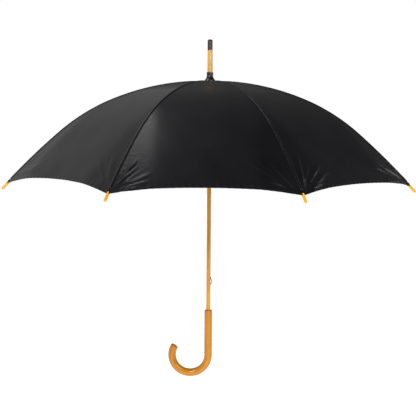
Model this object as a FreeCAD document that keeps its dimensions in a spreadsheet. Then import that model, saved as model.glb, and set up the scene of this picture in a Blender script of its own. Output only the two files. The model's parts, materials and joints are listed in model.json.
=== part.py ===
import FreeCAD
import Part
import math
import os

import Sketcher

# A stick umbrella, open: a wooden shaft with a crook handle, eight steel ribs with their
# stretchers, a runner that slides on the shaft, and a canopy of eight gores.
# Millimetres, +Z up. The origin is on the shaft's axis, at the middle of the grip.
# Levels are heights above the canopy's crown, which is crown_height above the origin.

SIZES = {
    # The whole umbrella
    "rib_count": 8,
    "crown_height": 662,
    "canopy_radius": 517,
    # Shaft, ferrule and cap
    "shaft_radius": 5.4,
    "shaft_bottom": -640,
    "shaft_top": 62,
    "ferrule_base": 14,
    "ferrule_base_radius": 7.0,
    "ferrule_top_radius": 6.6,
    "ferrule_length": 64,
    "ferrule_bore_depth": 48,
    "spigot_radius": 4.6,
    "spigot_top": 80,
    "cap_radius": 6.6,
    "cap_straight": 23.1,
    "cap_length": 27.6,
    "cap_flat_radius": 2.1,
    "cap_bore_depth": 16.5,
    # Crown cup over the canopy, and the cloth rosette under it
    "cup_base": 1.6,
    "cup_foot_radius": 13.75,
    "cup_foot_edge": 1.2,
    "cup_waist_radius": 10.2,
    "cup_waist": 5.4,
    "cup_top_radius": 8.4,
    "cup_top": 21,
    "cup_seat": 12.4,
    "cup_hollow_radius": 11.5,
    "cup_hollow_top": 3.0,
    "cup_flare_top": 13,
    "patch_radius": 24,
    "patch_thickness": 0.5,
    "patch_level": -2.4,
    # Handle
    "grip_radius": 10.4,
    "grip_length": 122.5,
    "grip_middle_drop": 61.5,
    "grip_edge_radius": 9.2,
    "grip_edge_level": 121.3,
    "grip_bore_floor": 83.5,
    "hook_radius": 48,
    "hook_turn": 213,
    "hook_end_round": 4,
    # Top notch and runner: both hold a ring of wire that the ribs or stretchers turn on
    "pivot_radius": 9.5,
    "notch_pivot": -7.5,
    "wire_radius": 0.6,
    "eye_bore_radius": 0.7,
    "eye_radius": 1.8,
    "eye_thickness": 1.2,
    "collar_radius": 12.5,
    "groove_floor": 8.8,
    "groove_half": 0.7,
    "slot_floor": 7.5,
    "slot_width": 1.6,
    "slot_reach": 14,
    "notch_below_pivot": 3.5,
    "notch_above_pivot": 4.5,
    "notch_slot_depth": 6,
    "runner_bore": 5.5,
    "runner_radius": 8,
    "runner_lip_radius": 8.8,
    "runner_lip": 3,
    "runner_lip_slope": 0.8,
    "runner_collar_slope": 1.5,
    "runner_length": 48,
    "runner_above_pivot": 3.5,
    "runner_collar_below": 4.5,
    "runner_slot_below": 2.5,
    "window_top": -17,
    "window_bottom": -43,
    "window_width": 3.2,
    "window_reach": 10,
    "window_inside": 4,
    "notch_pin_radius": 0.8,
    "notch_pin_inset": 0.3,
    "notch_pin_level": -9.4,
    "stop_pin_radius": 1.0,
    "stop_pin_level": -86.7,
    "stop_pin_length": 14.4,
    # Hand springs in the shaft
    "spring_width": 1.6,
    "spring_thickness": 1.9,
    "spring_slot_width": 2.2,
    "spring_slot_floor": -0.8,
    "top_slot_top": -138.6,
    "top_slot_bottom": -184,
    "bottom_slot_top": -500,
    "bottom_slot_bottom": -546,
    # Ribs: pressed channels that open downwards
    "link_length": 242,
    "link_open_angle": 79.9,
    "rib_width": 3.2,
    "rib_depth": 2.6,
    "rib_wall": 0.45,
    "eye_tang": 6,
    "rib_start": 7,
    "rib_start_rise": 1.2,
    "cloth_to_rib": 0.9,
    "crown_slope": 0.6,
    "bend_slope": 22,
    "knee_slope": 40.5,
    "rim_slope": 46.5,
    "cloth_start": 9.7,
    "cloth_start_level": -0.6,
    "bend_radius": 254,
    "knee_radius": 390,
    "flex_gap": 0.3,
    "bracket_half": 2.2,
    "bracket_below": 1.8,
    "bracket_above": 1.7,
    "bracket_thickness": 2.6,
    "rivet_radius": 0.6,
    "rivet_bore": 0.66,
    "rivet_head_radius": 1.3,
    "rivet_head": 0.5,
    # Stretchers: channels with a fork over the rib and an eye on the runner's wire
    "stretcher_width": 3.0,
    "stretcher_depth": 2.4,
    "fork_gap": 3.8,
    "fork_width": 5.0,
    "fork_length": 20,
    "fork_throat": 17,
    "fork_eye_radius": 1.9,
    "fork_behind": 5,
    "stretcher_eye_tang": 12,
    "stretcher_eye_half": 1.0,
    "stretcher_eye_foot": -0.9,
    # Wooden rib tips
    "tip_radius": 3.2,
    "tip_base_radius": 2.5,
    "tip_swell": 4,
    "tip_length": 28,
    "tip_inside": 10,
    "plug_length": 2.0,
    "plug_below": 0.9,
    "tang_start": -0.5,
    "tip_bore": 1.0,
    "tip_bore_depth": 9,
    # Canopy cloth, and the strap that ties the umbrella shut
    "cloth_thickness": 0.5,
    "seam_gap": 0.3,
    "corner_cut": 3.8,
    "hem_scallop": 14.5,
    "gore_near": 4,
    "corner_length": 3,
    "trim_overrun": 1,
    "strap_width": 24,
    "strap_length": 95,
    "strap_thickness": 1.4,
    "snap_sunk": 0.1,
    "strap_lift": 0.8,
    "strap_from_hem": 26,
    "strap_side": 120,
    "snap_radius": 5.5,
    "snap_height": 1.6,
}

doc = FreeCAD.newDocument("stick_umbrella")
sheet = doc.addObject("Spreadsheet::Sheet", "Sizes")
for row, (alias, value) in enumerate(SIZES.items(), start=1):
    sheet.set(f"A{row}", alias)
    sheet.set(f"B{row}", str(value))
    sheet.setAlias(f"B{row}", alias)
doc.recompute()

X_AXIS = FreeCAD.Vector(1, 0, 0)
Y_AXIS = FreeCAD.Vector(0, 1, 0)
Z_AXIS = FreeCAD.Vector(0, 0, 1)
NODES = []


# Small helpers for sketches, features and places


def size(term):
    """The value of a number, of a cell's alias, or of an alias with a minus sign."""
    if not isinstance(term, str):
        return term
    sign = -1 if term.startswith("-") else 1
    return sign * SIZES[term.lstrip("-")]


def bind(thing, path, term):
    """Ties a property or constraint to a cell where the term is an alias."""
    if isinstance(term, str):
        prefix = "-Sizes." if term.startswith("-") else "Sizes."
        thing.setExpression(path, prefix + term.lstrip("-"))


def turned(degrees, axis=Z_AXIS, base=None):
    return FreeCAD.Placement(base or FreeCAD.Vector(), FreeCAD.Rotation(axis, degrees))


def lifted(height):
    return FreeCAD.Placement(FreeCAD.Vector(0, 0, height), FreeCAD.Rotation())


def node(label, thing):
    """Notes a finished sub-part, which is written to its own file."""
    thing.Label = label
    NODES.append(thing)
    return thing


def new_body(label, place=None):
    body = doc.addObject("PartDesign::Body", label)
    body.Label = label
    body.Placement = place or FreeCAD.Placement()
    return body


def crown_body(label, level):
    """A body on the axis, its own zero at a level that a cell gives."""
    body = new_body(label, lifted(SIZES["crown_height"] + size(level)))
    body.setExpression("Placement.Base.z", f"Sizes.crown_height + Sizes.{level}")
    return body


def origin_feature(body, role):
    return next(f for f in body.Origin.OriginFeatures if f.Role == role)


def new_sketch(body, role, offset=None):
    sketch = body.newObject("Sketcher::SketchObject", f"{body.Name}_sketch")
    sketch.AttachmentSupport = [(origin_feature(body, role), "")]
    sketch.MapMode = "FlatFace"
    if offset:
        sketch.AttachmentOffset = offset
    return sketch


def hold_point(sketch, edge, end, point):
    """Fixes one end of an edge at a point whose coordinates are numbers or aliases."""
    for kind, term, axis in zip(("DistanceX", "DistanceY"), point, (-2, -1)):
        if size(term) == 0:
            sketch.addConstraint(Sketcher.Constraint("PointOnObject", edge, end, axis))
            continue
        constraint = Sketcher.Constraint(kind, -1, 1, edge, end, float(size(term)))
        index = sketch.addConstraint(constraint)
        bind(sketch, f"Constraints[{index}]", term)


def vector(point):
    return FreeCAD.Vector(size(point[0]), size(point[1]), 0)


def outline(sketch, points, arcs=None):
    """A closed outline. arcs gives, by the number of an edge, a point that it bends through."""
    arcs = arcs or {}
    first = sketch.GeometryCount
    count = len(points)
    for i, point in enumerate(points):
        start = vector(point)
        end = vector(points[(i + 1) % count])
        if i in arcs:
            edge = Part.Arc(start, vector(arcs[i]), end)
        else:
            edge = Part.LineSegment(start, end)
        sketch.addGeometry(edge)
    # The kernel keeps an arc counter-clockwise, so its ends may be swapped.
    ends = []
    for i, point in enumerate(points):
        start_at = sketch.getPoint(first + i, 1)
        ends.append((1, 2) if start_at.isEqual(vector(point), 1e-6) else (2, 1))
    for i in range(count):
        after = (i + 1) % count
        joint = (first + i, ends[i][1], first + after, ends[after][0])
        sketch.addConstraint(Sketcher.Constraint("Coincident", *joint))
    for i, point in enumerate(points):
        hold_point(sketch, first + i, ends[i][0], point)
    for i in arcs:
        radius = sketch.Geometry[first + i].Radius
        sketch.addConstraint(Sketcher.Constraint("Radius", first + i, radius))


def circle(sketch, centre, radius):
    edge = sketch.GeometryCount
    sketch.addGeometry(Part.Circle(vector(centre), Z_AXIS, size(radius)))
    index = sketch.addConstraint(Sketcher.Constraint("Radius", edge, float(size(radius))))
    bind(sketch, f"Constraints[{index}]", radius)
    hold_point(sketch, edge, 3, centre)


def rectangle(sketch, low, high):
    outline(sketch, [low, (high[0], low[1]), high, (low[0], high[1])])


def pad(body, sketch, length, symmetric=True, cut=False, backwards=False):
    kind = "PartDesign::Pocket" if cut else "PartDesign::Pad"
    feature = body.newObject(kind, f"{body.Name}_{'cut' if cut else 'pad'}")
    feature.Profile = sketch
    feature.Length = size(length)
    bind(feature, "Length", length)
    feature.SideType = "Symmetric" if symmetric else "One side"
    feature.Reversed = backwards
    return feature


def cut(body, sketch, length, symmetric=True, backwards=False):
    return pad(body, sketch, length, symmetric, True, backwards)


def revolve(body, sketch, axis="V_Axis", angle=360):
    feature = body.newObject("PartDesign::Revolution", f"{body.Name}_turn")
    feature.Profile = sketch
    feature.ReferenceAxis = (sketch, [axis])
    feature.Angle = size(angle)
    bind(feature, "Angle", angle)
    return feature


def turned_body(label, level, points, arcs=None):
    """A turned piece on the axis: its outline is (radius, height) from its own zero."""
    body = crown_body(label, level)
    sketch = new_sketch(body, "XZ_Plane")
    outline(sketch, points, arcs)
    revolve(body, sketch)
    return body


def cylinder(label, radius, length, place):
    thing = doc.addObject("Part::Cylinder", label)
    thing.Radius = size(radius)
    thing.Height = size(length)
    bind(thing, "Radius", radius)
    bind(thing, "Height", length)
    thing.Placement = place
    return thing


# Shaft, handle and the pieces at the top


def along_y(length, level):
    """The place of a cross pin: along Y, its middle on the axis."""
    base = FreeCAD.Vector(0, length / 2, SIZES["crown_height"] + size(level))
    return FreeCAD.Placement(base, FreeCAD.Rotation(X_AXIS, 90))


def make_shaft():
    body = crown_body("shaft", "shaft_bottom")
    sketch = new_sketch(body, "XY_Plane")
    circle(sketch, (0, 0), "shaft_radius")
    pad(body, sketch, size("shaft_top") - size("shaft_bottom"), symmetric=False)
    bottom = size("shaft_bottom")
    for upper, lower in (
        ("top_slot_top", "top_slot_bottom"),
        ("bottom_slot_top", "bottom_slot_bottom"),
    ):
        sketch = new_sketch(body, "XZ_Plane")
        low = ("spring_slot_floor", size(lower) - bottom)
        high = ("window_reach", size(upper) - bottom)
        rectangle(sketch, low, high)
        cut(body, sketch, "spring_slot_width")
    for radius, level in (
        ("notch_pin_radius", "notch_pin_level"),
        ("stop_pin_radius", "stop_pin_level"),
    ):
        sketch = new_sketch(body, "XZ_Plane")
        circle(sketch, (0, size(level) - bottom), radius)
        cut(body, sketch, 4 * size("shaft_radius"))
    node("shaft", body)


def make_handle():
    """A straight grip with the shaft's bore, and a crook that turns under the -X side."""
    height = SIZES["grip_middle_drop"]
    body = new_body("handle", lifted(-height))
    body.setExpression("Placement.Base.z", "-Sizes.grip_middle_drop")
    sketch = new_sketch(body, "XZ_Plane")
    outline(
        sketch,
        [
            (0, 0),
            ("grip_radius", 0),
            ("grip_radius", "grip_edge_level"),
            ("grip_edge_radius", "grip_length"),
            ("shaft_radius", "grip_length"),
            ("shaft_radius", "grip_bore_floor"),
            (0, "grip_bore_floor"),
        ],
    )
    revolve(body, sketch)
    sketch = new_sketch(body, "XY_Plane")
    circle(sketch, (0, 0), "grip_radius")
    reach = 2 * size("grip_radius")
    axis = Part.LineSegment(
        FreeCAD.Vector(-size("hook_radius"), -reach, 0),
        FreeCAD.Vector(-size("hook_radius"), reach, 0),
    )
    sketch.addGeometry(axis, True)
    hold_point(sketch, 1, 1, ("-hook_radius", -reach))
    hold_point(sketch, 1, 2, ("-hook_radius", reach))
    crook = revolve(body, sketch, "Axis0", "hook_turn")
    doc.recompute()
    turn = math.radians(size("hook_turn"))
    end = FreeCAD.Vector(
        size("hook_radius") * (math.cos(turn) - 1), 0, -size("hook_radius") * math.sin(turn)
    )
    rim = next(
        i
        for i, edge in enumerate(crook.Shape.Edges, start=1)
        if edge.Curve.TypeId == "Part::GeomCircle"
        and edge.Curve.Center.isEqual(end, 0.1)
    )
    fillet = body.newObject("PartDesign::Fillet", "handle_end")
    fillet.Base = (crook, [f"Edge{rim}"])
    fillet.Radius = size("hook_end_round")
    bind(fillet, "Radius", "hook_end_round")
    node("handle", body)


def make_ferrule():
    body = turned_body(
        "ferrule",
        "ferrule_base",
        [
            ("shaft_radius", 0),
            ("ferrule_base_radius", 0),
            ("ferrule_top_radius", "ferrule_length"),
            ("spigot_radius", "ferrule_length"),
            ("spigot_radius", "spigot_top"),
            (0, "spigot_top"),
            (0, "ferrule_bore_depth"),
            ("shaft_radius", "ferrule_bore_depth"),
        ],
    )
    node("ferrule", body)


def make_ferrule_cap():
    """A closed cap over the ferrule's spigot, domed at the end."""
    dome = size("cap_length") - size("cap_straight")
    share = math.sqrt(0.5)
    middle = (
        size("cap_flat_radius") + dome * share,
        size("cap_straight") + dome * share,
    )
    body = new_body(
        "ferrule_cap",
        lifted(size("crown_height") + size("ferrule_base") + size("ferrule_length")),
    )
    body.setExpression(
        "Placement.Base.z",
        "Sizes.crown_height + Sizes.ferrule_base + Sizes.ferrule_length",
    )
    sketch = new_sketch(body, "XZ_Plane")
    outline(
        sketch,
        [
            ("spigot_radius", 0),
            ("cap_radius", 0),
            ("cap_radius", "cap_straight"),
            ("cap_flat_radius", "cap_length"),
            (0, "cap_length"),
            (0, "cap_bore_depth"),
            ("spigot_radius", "cap_bore_depth"),
        ],
        {2: middle},
    )
    revolve(body, sketch)
    node("ferrule_cap", body)


def make_crown_cup():
    """A flared cup that clamps the canopy's crown and seats the ferrule in its top."""
    body = turned_body(
        "crown_cup",
        "cup_base",
        [
            ("shaft_radius", "cup_hollow_top"),
            ("cup_hollow_radius", 0),
            ("cup_foot_radius", 0),
            ("cup_foot_radius", "cup_foot_edge"),
            ("cup_top_radius", "cup_flare_top"),
            ("cup_top_radius", "cup_top"),
            ("ferrule_base_radius", "cup_top"),
            ("ferrule_base_radius", "cup_seat"),
            ("shaft_radius", "cup_seat"),
        ],
        {3: ("cup_waist_radius", "cup_waist")},
    )
    node("crown_cup", body)


def make_crown_patch():
    body = crown_body("crown_patch", "patch_level")
    sketch = new_sketch(body, "XY_Plane")
    circle(sketch, (0, 0), "shaft_radius")
    circle(sketch, (0, 0), "patch_radius")
    pad(body, sketch, "patch_thickness", symmetric=False)
    node("crown_patch", body)


# Top notch and runner


def radial_slots(body, floor, length):
    """Eight slots for the eyes, half a gore away from +X, open upwards from their floor."""
    place = FreeCAD.Placement(
        FreeCAD.Vector(0, 0, floor), FreeCAD.Rotation(Z_AXIS, 180 / size("rib_count"))
    )
    sketch = new_sketch(body, "XY_Plane", place)
    half = size("slot_width") / 2
    rectangle(sketch, ("slot_floor", -half), ("slot_reach", half))
    slot = cut(body, sketch, length, symmetric=False, backwards=True)
    doc.recompute()
    pattern = body.newObject("PartDesign::PolarPattern", f"{body.Name}_slots")
    pattern.Originals = [slot]
    pattern.Axis = (origin_feature(body, "Z_Axis"), [""])
    pattern.Angle = 360
    pattern.Occurrences = size("rib_count")
    bind(pattern, "Occurrences", "rib_count")
    body.Tip = pattern


def make_top_notch():
    body = turned_body(
        "top_notch",
        "notch_pivot",
        [
            ("shaft_radius", "-notch_below_pivot"),
            ("collar_radius", "-notch_below_pivot"),
            ("collar_radius", "-groove_half"),
            ("groove_floor", "-groove_half"),
            ("groove_floor", "groove_half"),
            ("collar_radius", "groove_half"),
            ("collar_radius", "notch_above_pivot"),
            ("shaft_radius", "notch_above_pivot"),
        ],
    )
    sketch = new_sketch(body, "XZ_Plane")
    drop = size("notch_pin_level") - size("notch_pivot")
    circle(sketch, (0, drop), "notch_pin_radius")
    cut(body, sketch, 4 * size("collar_radius"))
    radial_slots(body, -size("notch_below_pivot"), "notch_slot_depth")
    node("top_notch", body)
    length = 2 * (size("collar_radius") - size("notch_pin_inset"))
    pin = cylinder("notch_pin", "notch_pin_radius", length, along_y(length, "notch_pin_level"))
    node("notch_pin", pin)
    length = size("stop_pin_length")
    pin = cylinder("stop_pin", "stop_pin_radius", length, along_y(length, "stop_pin_level"))
    node("stop_pin", pin)


def runner_level():
    """The runner's pivots hang twice the links' drop below the notch's."""
    drop = 2 * size("link_length") * math.cos(math.radians(size("link_open_angle")))
    return size("crown_height") + size("notch_pivot") - drop


def make_runner():
    body = new_body("runner", lifted(runner_level()))
    sketch = new_sketch(body, "XZ_Plane")
    foot = -size("runner_length")
    outline(
        sketch,
        [
            ("runner_bore", foot),
            ("runner_lip_radius", foot),
            ("runner_lip_radius", foot + size("runner_lip")),
            ("runner_radius", foot + size("runner_lip") + size("runner_lip_slope")),
            ("runner_radius", -size("runner_collar_below") - size("runner_collar_slope")),
            ("collar_radius", "-runner_collar_below"),
            ("collar_radius", "-groove_half"),
            ("groove_floor", "-groove_half"),
            ("groove_floor", "groove_half"),
            ("collar_radius", "groove_half"),
            ("collar_radius", "runner_above_pivot"),
            ("runner_bore", "runner_above_pivot"),
        ],
    )
    revolve(body, sketch)
    sketch = new_sketch(body, "XZ_Plane")
    rectangle(sketch, ("window_inside", "window_bottom"), ("window_reach", "window_top"))
    cut(body, sketch, "window_width")
    length = size("runner_slot_below") + size("runner_above_pivot")
    radial_slots(body, -size("runner_slot_below"), length)
    node("runner", body)


def make_pivot_wires():
    """One ring of wire in the top notch, one in the runner."""
    notch_level = size("crown_height") + size("notch_pivot")
    for label, level in (("notch_wire", notch_level), ("runner_wire", runner_level())):
        ring = doc.addObject("Part::Torus", label)
        for name, alias in (("Radius1", "pivot_radius"), ("Radius2", "wire_radius")):
            setattr(ring, name, size(alias))
            bind(ring, name, alias)
        ring.Placement = lifted(level)
        node(label, ring)


def ribbon(points, thickness):
    """The outline of a bent strip whose left face follows the points."""
    right = []
    for i, (x, z) in enumerate(points):
        before = points[max(i - 1, 0)]
        after = points[min(i + 1, len(points) - 1)]
        sides = []
        for a, b in ((before, (x, z)), ((x, z), after)):
            run = math.hypot(b[0] - a[0], b[1] - a[1])
            if run:
                sides.append(((b[1] - a[1]) / run, -(b[0] - a[0]) / run))
        normal_x = sum(side[0] for side in sides)
        normal_z = sum(side[1] for side in sides)
        share = 2 * thickness / (normal_x**2 + normal_z**2)
        if len(sides) == 1:
            share = thickness
        elif share * math.hypot(normal_x, normal_z) > 2 * thickness:
            share = 2 * thickness / math.hypot(normal_x, normal_z)
        right.append((x + normal_x * share, z + normal_z * share))
    return points + right[::-1]


# Each spring's face, from its foot on the slot's floor round the bump that catches the
# runner to its free end, as distances from the shaft's axis and heights from the slot's top.
SPRING_PATHS = {
    "top_spring": (
        "top_slot_top",
        [(-0.4, -43), (-0.4, -34), (3.2, -25), (7.2, -8.6), (7.9, -6.4), (6.9, -5.2), (2.6, -4.6),
         (0.6, -6.2)],
    ),
    "bottom_spring": (
        "bottom_slot_top",
        [(0.8, -33), (3.4, -32), (6.8, -28.4), (7.9, -26.4), (7.9, -23.6), (3.4, -11), (-0.4, -8),
         (-0.4, -2)],
    ),
}


def make_hand_springs():
    """Bent strips set in the shaft's slots. Each has a ramp and a steep catching side."""
    for label, (slot_top, path) in SPRING_PATHS.items():
        body = new_body(label, lifted(size("crown_height") + size(slot_top)))
        sketch = new_sketch(body, "XZ_Plane")
        outline(sketch, ribbon(path, size("spring_thickness")))
        pad(body, sketch, "spring_width")
        node(label, body)


# The curve of the open canopy: three arcs that meet smoothly, in the plane of a rib


class Arc:
    """An arc in the (radius, level) plane that starts at a point and slopes ever more down."""

    def __init__(self, radius, level, start_slope, end_slope, end_radius):
        self.start = (radius, level)
        self.slopes = (start_slope, end_slope)
        first, last = (math.radians(s) for s in self.slopes)
        self.bend = (end_radius - radius) / (math.sin(last) - math.sin(first))
        self.turn = end_slope - start_slope

    def at(self, slope):
        first, here = math.radians(self.slopes[0]), math.radians(slope)
        radius = self.start[0] + self.bend * (math.sin(here) - math.sin(first))
        level = self.start[1] - self.bend * (math.cos(first) - math.cos(here))
        return radius, level

    def end(self):
        return self.at(self.slopes[1])

    def slope_at_radius(self, radius):
        first = math.sin(math.radians(self.slopes[0]))
        return math.degrees(math.asin(first + (radius - self.start[0]) / self.bend))


def inside(point, slope, distance):
    """A point moved square to the curve, towards its inner side."""
    tilt = math.radians(slope)
    return point[0] - distance * math.sin(tilt), point[1] - distance * math.cos(tilt)


def cloth_arcs():
    top = Arc(
        size("cloth_start"),
        size("cloth_start_level"),
        size("crown_slope"),
        size("bend_slope"),
        size("bend_radius"),
    )
    middle = Arc(*top.end(), size("bend_slope"), size("knee_slope"), size("knee_radius"))
    rim = Arc(*middle.end(), size("knee_slope"), size("rim_slope"), size("canopy_radius"))
    return top, middle, rim


def rib_arcs():
    """The top edge of the rib's three arcs. The inner one starts beside the notch."""
    top, middle, rim = cloth_arcs()
    gap = size("cloth_to_rib")
    bend = inside(middle.start, size("bend_slope"), gap)
    knee = inside(middle.end(), size("knee_slope"), gap)
    corner = inside(rim.end(), size("rim_slope"), gap)
    start = (
        size("pivot_radius") + size("rib_start"),
        size("notch_pivot") + size("rib_start_rise"),
    )
    chord = math.degrees(math.atan2(start[1] - bend[1], bend[0] - start[0]))
    inner = Arc(*start, 2 * chord - size("bend_slope"), size("bend_slope"), bend[0])
    middle = Arc(*bend, size("bend_slope"), size("knee_slope"), knee[0])
    outer = Arc(*knee, size("knee_slope"), size("rim_slope"), corner[0])
    return inner, middle, outer


def in_rib_plane(azimuth, point, slope):
    """A place on the rib's plane: X points along the rib, Z square to it, outwards."""
    turn = FreeCAD.Rotation(Z_AXIS, azimuth)
    base = FreeCAD.Vector(point[0], 0, size("crown_height") + point[1])
    return FreeCAD.Placement(turn.multVec(base), turn.multiply(FreeCAD.Rotation(Y_AXIS, slope)))


def local(point, start, slope):
    """A point of the rib's plane, seen from a place that starts there at that slope."""
    tilt = math.radians(slope)
    across, up = point[0] - start[0], point[1] - start[1]
    along = across * math.cos(tilt) - up * math.sin(tilt)
    square = across * math.sin(tilt) + up * math.cos(tilt)
    return along, square


def rib_azimuth(number):
    """Rib 1 is half a gore to the right of the front, and the others follow round."""
    return -90 + (number - 0.5) * 360 / size("rib_count")


def channel(sketch, width, depth, wall, top=0.0):
    """The section of a pressed channel that opens downwards, its web's top at a height."""
    half = width / 2
    low = top - depth
    web = top - wall
    points = [(-half, top), (half, top), (half, low), (half - wall, low), (half - wall, web)]
    mirrored = [(-half + wall, web), (-half + wall, low), (-half, low)]
    outline(sketch, points + mirrored)


def bent_channel(body, bend, turn, offset=None):
    """A rib's channel turned about an axis that lies square to the rib, below it."""
    sketch = new_sketch(body, "YZ_Plane", offset)
    channel(sketch, size("rib_width"), size("rib_depth"), size("rib_wall"))
    edge = sketch.GeometryCount
    reach = size("rib_width")
    axis = Part.LineSegment(FreeCAD.Vector(-reach, -bend, 0), FreeCAD.Vector(reach, -bend, 0))
    sketch.addGeometry(axis, True)
    hold_point(sketch, edge, 1, (-reach, -bend))
    hold_point(sketch, edge, 2, (reach, -bend))
    revolve(body, sketch, "Axis0", turn)


def eye(body, centre, tang_end, tang_height, radius, thickness):
    """A flat tang with a rounded eye at its end."""
    sketch = new_sketch(body, "XZ_Plane")
    low, high = tang_height
    left, right = sorted((centre[0], tang_end))
    rectangle(sketch, (left, low), (right, high))
    pad(body, sketch, thickness)
    sketch = new_sketch(body, "XZ_Plane")
    circle(sketch, centre, radius)
    pad(body, sketch, thickness)


def bore(body, centre, radius):
    sketch = new_sketch(body, "XZ_Plane")
    circle(sketch, centre, radius)
    cut(body, sketch, 3 * size("fork_width"))


def rib_joint():
    """Where a stretcher's rivet goes through its rib, in the rib's plane."""
    angle = math.radians(size("link_open_angle"))
    return (
        size("pivot_radius") + size("link_length") * math.sin(angle),
        size("notch_pivot") - size("link_length") * math.cos(angle),
    )


def make_rib_inner(number):
    """From the notch's wire to just past the stretcher's rivet."""
    inner = rib_arcs()[0]
    slope = inner.slopes[0]
    body = new_body(f"rib_{number}_inner", in_rib_plane(rib_azimuth(number), inner.start, slope))
    half_gap = math.degrees(size("flex_gap") / 2 / inner.bend)
    bent_channel(body, inner.bend, inner.turn - half_gap)
    pivot = local((size("pivot_radius"), size("notch_pivot")), inner.start, slope)
    tang = (-size("rib_depth") + size("rib_wall") / 4, -size("rib_wall") / 2)
    eye(body, pivot, size("eye_tang"), tang, "eye_radius", "eye_thickness")
    rivet = local(rib_joint(), inner.start, slope)
    joint_slope = math.radians(inner.slope_at_radius(rib_joint()[0]) - slope)
    place = FreeCAD.Placement(
        FreeCAD.Vector(rivet[0], rivet[1], 0),
        FreeCAD.Rotation(Z_AXIS, -math.degrees(joint_slope)),
    )
    sketch = new_sketch(body, "XZ_Plane", place)
    half = size("bracket_half")
    rectangle(sketch, (-half, -size("bracket_below")), (half, "bracket_above"))
    pad(body, sketch, "bracket_thickness")
    bore(body, pivot, "eye_bore_radius")
    bore(body, rivet, "rivet_bore")
    node(f"rib_{number}_inner", body)


def tip_place():
    """Where a wooden tip starts: the rib's arc ends there, and the tip goes on straight."""
    outer = rib_arcs()[2]
    rim_slope = size("rim_slope")
    radius = outer.end()[0] - size("tip_inside") * math.cos(math.radians(rim_slope))
    slope = outer.slope_at_radius(radius)
    return outer.at(slope), slope


def back_along(point, slope, distance):
    """A point moved back along the slope."""
    tilt = math.radians(slope)
    return point[0] - distance * math.cos(tilt), point[1] + distance * math.sin(tilt)


def on_rib(point, tilt):
    """A sketch's place on the YZ plane, whose normal is the body's X: a section of the rib."""
    base = FreeCAD.Vector(0, point[1], point[0])
    return FreeCAD.Placement(base, FreeCAD.Rotation(X_AXIS, tilt))


def make_rib_outer(number):
    """From the bend to the wooden tip: two arcs, and a round tang that the tip is glued on."""
    inner, middle, outer = rib_arcs()
    slope = size("bend_slope")
    body = new_body(f"rib_{number}_outer", in_rib_plane(rib_azimuth(number), middle.start, slope))
    half_gap = math.degrees(size("flex_gap") / 2 / middle.bend)
    start = middle.at(slope + half_gap)
    offset = on_rib(local(start, middle.start, slope), half_gap)
    bent_channel(body, middle.bend, middle.turn - half_gap, offset)
    offset = on_rib(local(outer.start, middle.start, slope), middle.turn)
    end, end_slope = tip_place()
    bent_channel(body, outer.bend, end_slope - outer.slopes[0], offset)
    tilt = end_slope - slope
    middle_depth = size("rib_depth") / 2
    tang = inside(local(end, middle.start, slope), tilt, middle_depth)
    offset = on_rib(back_along(tang, tilt, size("plug_length")), tilt)
    # The tang is brazed into the channel through a short plug.
    sketch = new_sketch(body, "YZ_Plane", offset)
    half = (size("rib_width") - size("rib_wall")) / 2
    rectangle(sketch, (-half, "-plug_below"), (half, middle_depth - size("rib_wall") / 2))
    pad(body, sketch, "plug_length", symmetric=False)
    sketch = new_sketch(body, "YZ_Plane", offset)
    circle(sketch, (0, 0), "tip_bore")
    reach = size("plug_length") + size("tip_bore_depth") + size("tang_start")
    pad(body, sketch, reach, symmetric=False)
    node(f"rib_{number}_outer", body)


def make_tip(number):
    """A turned wooden tip with a round end, bored for the rib."""
    at, slope = tip_place()
    at = inside(at, slope, size("rib_depth") / 2)
    body = new_body(f"tip_{number}", in_rib_plane(rib_azimuth(number), at, slope))
    sketch = new_sketch(body, "XZ_Plane")
    radius = size("tip_radius")
    straight = size("tip_length") - radius
    outline(
        sketch,
        [
            (0, "tip_bore"),
            (0, "tip_base_radius"),
            ("tip_swell", "tip_radius"),
            (straight, "tip_radius"),
            ("tip_length", 0),
            ("tip_bore_depth", 0),
            ("tip_bore_depth", "tip_bore"),
        ],
        {3: (straight + radius * math.sin(math.pi / 4), radius * math.cos(math.pi / 4))},
    )
    revolve(body, sketch, "H_Axis")
    node(f"tip_{number}", body)


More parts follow.
